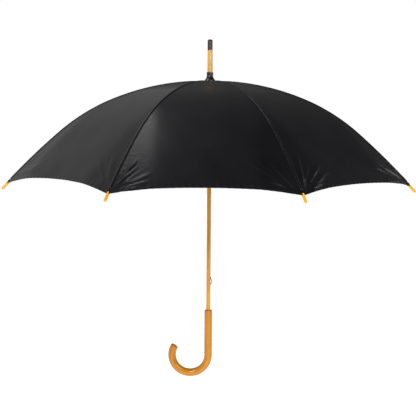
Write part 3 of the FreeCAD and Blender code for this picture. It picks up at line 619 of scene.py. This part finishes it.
# The finish of each material slot. A wood has a dark, a middle and a light tone.
MATERIALS = {
    "shaft_wood": straight_wood(
        "shaft_wood_lacquered", [(0.46, 0.17, 0.016), (0.66, 0.29, 0.035), (0.8, 0.42, 0.075)]),
    "handle_wood": handle_wood(
        "handle_wood_lacquered", [(0.36, 0.115, 0.003), (0.49, 0.185, 0.006), (0.6, 0.26, 0.016)],
        CROOK_CENTRE, CROOK_RADIUS, 0.3),
    "ferrule_wood": straight_wood(
        "ferrule_wood_lacquered", [(0.55, 0.24, 0.03), (0.7, 0.36, 0.07), (0.8, 0.47, 0.13)],
        0.28, 1.0),
    "tip_wood": straight_wood(
        "tip_wood_lacquered", [(0.72, 0.24, 0.003), (0.84, 0.34, 0.006), (0.9, 0.42, 0.02)],
        0.26, 0.4),
    "cap_metal": coated_metal("cap_dark_bronze", (0.03, 0.024, 0.018), 0.6, 0.26, 0.5),
    "cup_plastic": gloss_plastic("cup_black_plastic", (0.007, 0.007, 0.008), 0.16),
    "runner_metal": coated_metal("runner_black", (0.01, 0.01, 0.011), 0.3, 0.26, 0.4),
    "rib_metal": coated_metal("rib_black", (0.012, 0.012, 0.013), 0.4, 0.34, 0.2),
    "steel": coated_metal("pin_steel", (0.42, 0.42, 0.43), 1.0, 0.3),
    "spring_steel": coated_metal("spring_steel_dark", (0.006, 0.006, 0.006), 0.0, 0.5),
    "canopy_cloth": CLOTH,
    "strap_cloth": STRAP_CLOTH,
}


def dress_frame():
    """Gives every carried-over part the finish of its material slot."""
    slots = {part["node"]: part["material_slot"] for part in frame["record"]["subparts"]}
    for name, node in frame["nodes"].items():
        finish = MATERIALS[slots[name]]
        if not node.material_slots:
            node.data.materials.append(finish)
        for place in node.material_slots:
            place.material = finish


# ---------------------------------------------------------------- canopy


def rib_direction(rib):
    azimuth = rib_azimuth(rib)
    return Vector((math.cos(azimuth), math.sin(azimuth), 0))


def rib_tangent(rib):
    azimuth = rib_azimuth(rib)
    return Vector((-math.sin(azimuth), math.cos(azimuth), 0))


def rib_point(rib, along):
    """A point of the rib's own cloth line."""
    radius, level, _ = (float(part) for part in RIB_LINE.at(np.array(along)))
    return rib_direction(rib) * radius + Vector((0, 0, level))


# Rows along and columns across each piece. The columns crowd towards the rib by this power.
TOP_GRID = (61, 45)
SKIRT_GRID = (89, 101)
COLUMN_CROWDING = 1.25


def canopy_piece(rib, name, first, last, rows, columns):
    """The cloth on both sides of a rib, out to the middle of each gore.

    first and last give where the piece starts and ends along the cloth. The piece comes with
    its width in each row and its length in each column.
    """
    share = np.linspace(-1, 1, columns)
    from_rib = np.sign(share) * np.power(np.abs(share), COLUMN_CROWDING)
    down = np.linspace(0, 1, rows)[:, None]
    sides = []
    for gore, across in ((rib, 1 + from_rib), (next_gore(rib), from_rib - 1)):
        start = first(gore, across)
        along = start + (last(gore, across) - start) * down
        across = np.broadcast_to(across, along.shape)
        sides.append((gore, across, along))
    before = np.broadcast_to(from_rib <= 0, (rows, columns))
    points = side_by_side(before, [cloth(*side) for side in sides])
    facing = [cloth_normals(*side) for side in sides]
    normals = side_by_side(before, facing)
    middle = columns // 2
    normals[:, middle] = facing[0][:, middle] + facing[1][:, middle]
    normals /= np.linalg.norm(normals, axis=-1, keepdims=True)
    to_hem = np.where(before, *(hem_along(side[0], side[1]) - side[2] for side in sides))
    hem = 1 - ease(to_hem, HEM_WIDTH, HEM_WIDTH + HEM_EDGE)
    thickness = CLOTH_THICKNESS + (HEM_THICKNESS - CLOTH_THICKNESS) * hem
    places = [flat_place(*side) for side in sides]
    made = thin_sheet(name, points, normals, thickness, places, CLOTH)
    gap = np.linalg.norm(np.diff(points, axis=1), axis=-1)
    step = np.linalg.norm(np.diff(points, axis=0), axis=-1)
    return made, gap.sum(axis=1), step.sum(axis=0)


def side_by_side(before, pair):
    """The first of a pair where before is true, and the second elsewhere."""
    return np.where(before[..., None], pair[0], pair[1])


def flat_place(gore, across, along):
    """A point's place on the flat cloth: across, along, and a number for its gore."""
    radius = RIB_LINE.at(along)[0]
    sideways = across * radius * math.sin(HALF_GORE)
    return np.stack([sideways, along, np.full(along.shape, gore)], axis=-1)


def fold_with_rib(made):
    """Gives a piece a mesh of its own."""
    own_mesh(made)


def hang_on(made, body):
    """Cloth rides on its rib, with a mesh of its own."""
    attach(made, body)
    fold_with_rib(made)


def make_canopy():
    for rib in range(1, RIB_COUNT + 1):
        top, *top_flat = canopy_piece(
            rib, f"canopy_top_{rib}", crown_along, bend_along, *TOP_GRID)
        hang_on(top, f"rib_{rib}")
        skirt, *skirt_flat = canopy_piece(
            rib, f"canopy_skirt_{rib}", bend_along, hem_along, *SKIRT_GRID)
        hang_on(skirt, f"rib_end_{rib}")
        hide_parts(f"canopy_gore_{rib}")


def strip(name, stations, section, material):
    """A closed strip: one section of (sideways, lift) swept through stations.

    Each station is an origin, its sideways and lift directions, and the section's size there.
    """
    points = []
    for origin, sideways, upwards, size in stations:
        for side, lift in section:
            points.append(origin + sideways * (side * size) + upwards * (lift * size))
    count = len(section)
    faces = []
    for station in range(len(stations) - 1):
        here = station * count
        for item in range(count):
            after = (item + 1) % count
            faces.append((here + item, here + after, here + count + after, here + count + item))
    faces.append(tuple(range(count - 1, -1, -1)))
    faces.append(tuple(range(len(points) - count, len(points))))
    return mesh_object(name, points, faces, material)


def mark_strip(made, section, spacing):
    """Gives a strip's corners their place on its flat cloth."""
    count = len(section)
    loops = np.zeros(len(made.data.loops), dtype=int)
    made.data.loops.foreach_get("vertex_index", loops)
    sideways = np.array([side for side, _ in section])[loops % count]
    along = (loops // count) * spacing
    values = np.stack([sideways, along, np.zeros(len(loops))], axis=1)
    attribute = made.data.attributes.new("cloth_place", "FLOAT_VECTOR", "CORNER")
    attribute.data.foreach_set("vector", values.astype(np.float32).ravel())


# A seam starts this far from the crown and stops this far from the rim. It grows to its full
# size over its first stitches.
SEAM_START = 6 * MM
SEAM_STOP = 14 * MM
STITCH_SPACING = 1.75 * MM
STITCH_SWELL = 0.09
SEAM_FIRST_SIZE = 0.35
SEAM_GROWING_STITCHES = 30
SEAM_HALF_WIDTH = 3.5 * MM
SEAM_HEIGHT = 1.5 * MM
SEAM_SECTION = (
    (-SEAM_HALF_WIDTH, -0.1 * MM),
    (-SEAM_HALF_WIDTH, 0.25 * MM),
    (-2.4 * MM, 0.75 * MM),
    (-1.3 * MM, 1.3 * MM),
    (0.0, SEAM_HEIGHT),
    (1.1 * MM, 1.35 * MM),
    (1.5 * MM, 1.0 * MM),
    (2.6 * MM, 0.7 * MM),
    (SEAM_HALF_WIDTH, 0.25 * MM),
    (SEAM_HALF_WIDTH, -0.1 * MM),
)


def make_seam(rib):
    """The felled seam that joins two gores over a rib, with its row of stitches."""
    count = int((RIM_ALONG - SEAM_STOP - SEAM_START) / STITCH_SPACING)
    sideways = rib_tangent(rib)
    stations = []
    for number in range(count + 1):
        along = SEAM_START + number * STITCH_SPACING
        slope = float(RIB_LINE.at(np.array(along))[2])
        upwards = rib_direction(rib) * math.sin(slope) + Vector((0, 0, math.cos(slope)))
        stitch = 1 + STITCH_SWELL * math.cos(math.pi * number)
        taper = min(1.0, SEAM_FIRST_SIZE + number / SEAM_GROWING_STITCHES)
        stations.append((rib_point(rib, along), sideways, upwards, stitch * taper))
    made = strip(f"seam_{rib}", stations, SEAM_SECTION, CLOTH)
    mark_strip(made, SEAM_SECTION, STITCH_SPACING)
    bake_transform(made)


# The CAD's tips slope down by this much. Their bases are this far from the shaft's axis, and
# this far below the crown.
TIP_SLOPE = math.radians(46.16)
TIP_BASE_RADIUS = 508.53 * MM
TIP_BASE_DROP = 246.77 * MM


def tip_place(rib):
    """The tip's own axes: its origin in the middle of its base, Z outwards along it."""
    outwards = rib_direction(rib) * math.cos(TIP_SLOPE) - Vector((0, 0, math.sin(TIP_SLOPE)))
    upwards = rib_direction(rib) * math.sin(TIP_SLOPE) + Vector((0, 0, math.cos(TIP_SLOPE)))
    base = rib_direction(rib) * TIP_BASE_RADIUS + Vector((0, 0, CROWN - TIP_BASE_DROP))
    turn = Matrix((upwards, rib_tangent(rib), outwards)).transposed().to_4x4()
    return Matrix.Translation(base) @ turn


CUFF_PROFILE = (
    (2.75 * MM, -1.5 * MM),
    (2.85 * MM, 0.0),
    (3.4 * MM, 3.6 * MM),
    (3.55 * MM, 4.5 * MM),
    (3.8 * MM, 4.6 * MM),
    (3.95 * MM, 4.1 * MM),
    (3.85 * MM, 3.3 * MM),
    (3.6 * MM, 2.8 * MM),
    (3.3 * MM, 0.0),
    (3.1 * MM, -1.4 * MM),
)


def make_cuff(rib):
    """The cloth pocket sewn round a tip's base, which pulls the corner to a point."""
    made = lathe(f"tip_cuff_{rib}", CUFF_PROFILE, CLOTH, tip_place(rib), segments=28)
    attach(made, f"rib_end_{rib}")


# The rosette dishes down towards its edge, which is ruffled up and down and in and out.
ROSETTE_HOLE = 9.8 * MM
ROSETTE_RINGS = 14
ROSETTE_TURNS = 96
ROSETTE_DISH = 0.25 * MM
ROSETTE_RUFFLE = 0.175 * MM
ROSETTE_RUFFLES = 16
ROSETTE_EDGE_WAVE = 0.012
ROSETTE_EDGE_WAVES = 24


def make_rosette():
    """The ruffled patch inside the crown that keeps the cloth off the notch."""
    low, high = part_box("crown_patch")
    outer = high.x
    level = (low.z + high.z) / 2
    share = np.linspace(0, 1, ROSETTE_RINGS)[:, None]
    angle = np.linspace(0, 2 * math.pi, ROSETTE_TURNS)[None, :]
    edge = 1 + ROSETTE_EDGE_WAVE * np.cos(ROSETTE_EDGE_WAVES * angle)
    radius = ROSETTE_HOLE + (outer - ROSETTE_HOLE) * share * edge
    ruffle = ROSETTE_RUFFLE * np.square(share) * np.sin(ROSETTE_RUFFLES * angle)
    height = level - ROSETTE_DISH * share + ruffle
    radius, angle, height = np.broadcast_arrays(radius, angle, height)
    points = np.stack([radius * np.cos(angle), radius * np.sin(angle), height], axis=-1)
    normals = np.zeros_like(points)
    normals[..., 2] = 1
    thickness = np.full(radius.shape, CLOTH_THICKNESS)
    flat = np.stack([points[..., 0], points[..., 1], np.zeros_like(height)], axis=-1)
    made = thin_sheet("crown_rosette", points, normals, thickness, [flat, flat], CLOTH)
    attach(made, "shaft")
    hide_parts("crown_patch")


# ---------------------------------------------------------------- tie strap

# The strap lies on the back gore, beside rib 5. It is one band folded on itself: its upper
# layer starts before the layer under it, and stops short of that layer's end.
STRAP_GORE = 5
STRAP_ROWS = 46
STRAP_COLUMNS = 17
STRAP_THICKNESS = 0.7 * MM
STRAP_UNDER_HEIGHT = 0.55 * MM
STRAP_OVER_HEIGHT = 1.55 * MM
STRAP_CLEARANCE = 0.3 * MM
STRAP_UNDER_START = 4 * MM
STRAP_OVER_STOP = 14 * MM
STRAP_WAVE = 0.25 * MM
STRAP_WAVE_LENGTH = 38 * MM

# Its edges are rolled: each face rises by this much between these distances from the edge.
STRAP_ROLL = 0.18 * MM
STRAP_ROLL_START = 2.4 * MM
STRAP_ROLL_FULL = 1.6 * MM


def strap_layer(name, height, first, last, phase):
    """One layer of the strap, at a height over the cloth, between two distances along Y."""
    low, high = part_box("tie_strap")
    half_width = (high.x - low.x) / 2
    from_middle = -(low.x + high.x) / 2
    reach = np.linspace(first, last, STRAP_ROWS)[:, None]
    side = np.linspace(-half_width, half_width, STRAP_COLUMNS)[None, :]
    radius = reach / math.cos(HALF_GORE)
    across = (from_middle + side) / (radius * math.sin(HALF_GORE))
    across, along, side, reach = np.broadcast_arrays(across, RIB_LINE.along(radius), side, reach)
    facing = cloth_normals(STRAP_GORE, across, along)
    wave = STRAP_WAVE * np.sin(2 * math.pi * (reach - first) / STRAP_WAVE_LENGTH + phase)
    raised = height + wave + STRAP_CLEARANCE
    points = cloth(STRAP_GORE, across, along) + facing * raised[..., None]
    rolled = ease(np.abs(side), half_width - STRAP_ROLL_START, half_width - STRAP_ROLL_FULL)
    thickness = STRAP_THICKNESS + 2 * (STRAP_ROLL * rolled)
    places = np.stack([side, reach, np.zeros_like(side)], axis=-1)
    made = thin_sheet(name, points, facing, thickness, [places, places], STRAP_CLOTH)
    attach(made, "rib_end_5")
    fold_with_rib(made)
    return made


def make_tie_strap():
    """The strap, sewn to the back gore near a rib and snapped closed on itself."""
    near, far = (corner.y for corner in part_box("tie_strap"))
    under = strap_layer("strap_under", STRAP_UNDER_HEIGHT, near + STRAP_UNDER_START, far, 0)
    strap_layer("strap_over", STRAP_OVER_HEIGHT, near, far - STRAP_OVER_STOP, 1)
    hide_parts("tie_strap")


SNAP_HEIGHT = 2.3 * MM
SNAP_PROFILE = (
    (0.001 * MM, 0.0),
    (5.4 * MM, 0.0),
    (5.5 * MM, 0.5 * MM),
    (5.2 * MM, 1.0 * MM),
    (4.7 * MM, 1.05 * MM),
    (4.4 * MM, 0.8 * MM),
    (3.0 * MM, 1.1 * MM),
    (0.001 * MM, 1.3 * MM),
)


def make_snap():
    """A pressed cap snap: a domed disc with a rolled rim."""
    low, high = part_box("strap_snap")
    middle = (low + high) / 2
    radius = middle.y / math.cos(HALF_GORE)
    along = np.array(float(RIB_LINE.along(np.array(radius))))
    across = np.array(-middle.x / (radius * math.sin(HALF_GORE)))
    point = Vector(cloth(STRAP_GORE, across, along))
    facing = Vector(cloth_normals(STRAP_GORE, across, along))
    turn = facing.to_track_quat("Z", "Y").to_matrix().to_4x4()
    place = Matrix.Translation(point + facing * SNAP_HEIGHT) @ turn
    made = lathe("strap_snap_cap", SNAP_PROFILE, MATERIALS["runner_metal"], place, segments=36)
    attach(made, "rib_end_5")
    fold_with_rib(made)
    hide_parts("strap_snap")


# ---------------------------------------------------------------- studio


def make_floor():
    """A wide pale floor, well below the handle, that glows enough to read as white."""
    floor_level = -0.85
    half_size = 14
    corners = [(-1, -1), (1, -1), (1, 1), (-1, 1)]
    nodes = Nodes("studio_floor")
    speckle = nodes.noise(nodes.own_place(), scale=3, detail=2)
    colour = nodes.ramp(speckle, [(0.3, grey(0.93)), (0.7, grey(0.95))])
    nodes.finish(Base_Color=colour, Roughness=0.9, Specular_IOR_Level=0.0)
    nodes.finish(Emission_Color=(1, 1, 1, 1), Emission_Strength=0.85)
    points = [(x * half_size, y * half_size, floor_level) for x, y in corners]
    mesh_object("studio_floor", points, [(0, 1, 2, 3)], nodes.material, smooth=False)


def make_world():
    """White to the camera, and a dimmer light on the object, so that black cloth stays black.

    That light comes from the left and from low behind. Each is graded between two values of
    the direction's part along an axis.
    """
    world = bpy.data.worlds.new("studio")
    bpy.context.scene.world = world
    world.use_nodes = True
    tree = world.node_tree
    tree.nodes.clear()
    parts = tree.nodes.new("ShaderNodeSeparateXYZ")
    place = tree.nodes.new("ShaderNodeTexCoord")
    tree.links.new(place.outputs["Generated"], parts.inputs[0])

    def graded(axis, first, last, at_first, at_last):
        node = tree.nodes.new("ShaderNodeMapRange")
        node.inputs["From Min"].default_value = first
        node.inputs["From Max"].default_value = last
        node.inputs["To Min"].default_value = at_first
        node.inputs["To Max"].default_value = at_last
        tree.links.new(parts.outputs[axis], node.inputs["Value"])
        return node.outputs["Result"]

    def joined(operation, one, other):
        node = tree.nodes.new("ShaderNodeMath")
        node.operation = operation
        tree.links.new(one, node.inputs[0])
        tree.links.new(other, node.inputs[1])
        return node.outputs[0]

    left = graded("X", first=-0.6, last=0.08, at_first=0.62, at_last=0.06)
    behind = graded("Y", first=-0.3, last=0.5, at_first=0.0, at_last=0.7)
    low_down = graded("Z", first=0.06, last=0.32, at_first=1.0, at_last=0.0)
    back_wall = joined("MULTIPLY", behind, low_down)
    seen = tree.nodes.new("ShaderNodeBackground")
    lit = tree.nodes.new("ShaderNodeBackground")
    for shade in (seen, lit):
        shade.inputs["Color"].default_value = (1, 1, 1, 1)
    tree.links.new(joined("ADD", left, back_wall), lit.inputs["Strength"])
    path = tree.nodes.new("ShaderNodeLightPath")
    mixed = tree.nodes.new("ShaderNodeMixShader")
    output = tree.nodes.new("ShaderNodeOutputWorld")
    tree.links.new(path.outputs["Is Camera Ray"], mixed.inputs[0])
    tree.links.new(lit.outputs[0], mixed.inputs[1])
    tree.links.new(seen.outputs[0], mixed.inputs[2])
    tree.links.new(mixed.outputs[0], output.inputs["Surface"])


# Each soft box has a place, a point that it faces, a width, a depth and a power in watts.
LIGHTS = (
    ("key_over_left", (-0.57, 0.08, 2.2), (-0.57, -0.3, 0.5), 0.2, 1.0, 5),
    ("front_soft", (-0.6, -2.3, 1.5), (0, 0, 0.05), 0.7, 0.6, 38),
    ("front_right_strip", (1.2, -1.6, 0.8), (0, 0, 0.6), 0.3, 0.9, 14),
    ("side_right", (1.8, 0.05, 1.3), (0.2, -0.2, 0.5), 0.3, 0.5, 3.5),
)


def add_light(name, place, target, width, depth, power):
    data = bpy.data.lights.new(name, "AREA")
    data.shape = "RECTANGLE"
    data.size = width
    data.size_y = depth
    data.energy = power
    light = link(name, data)
    light.location = place
    light.rotation_euler = (Vector(target) - Vector(place)).to_track_quat("-Z", "Y").to_euler()


def add_camera():
    """Level with the lower canopy, just right of straight on, looking slightly down."""
    distance = 2.0676
    below_crown = 0.1145
    azimuth = math.radians(0.884)
    aim_left = 0.0012604
    pitch = 0.1033
    roll = 0.0067
    data = bpy.data.cameras.new("camera")
    data.sensor_width = 36
    data.lens = 68.66
    camera = link("camera", data)
    camera.location = (
        distance * math.sin(azimuth), -distance * math.cos(azimuth), CROWN - below_crown)
    yaw = Matrix.Rotation(azimuth + aim_left, 4, "Z")
    nod = Matrix.Rotation(math.pi / 2 - pitch, 4, "X")
    lean = Matrix.Rotation(roll, 4, "Z")
    camera.rotation_euler = (yaw @ nod @ lean).to_euler()
    bpy.context.scene.camera = camera


# ---------------------------------------------------------------- all together

dress_frame()
make_canopy()
for rib_number in range(1, RIB_COUNT + 1):
    make_seam(rib_number)
    make_cuff(rib_number)
make_rosette()
make_tie_strap()
make_snap()
make_floor()
make_world()
for light_values in LIGHTS:
    add_light(*light_values)
add_camera()
bpy.context.scene.view_settings.view_transform = "Standard"
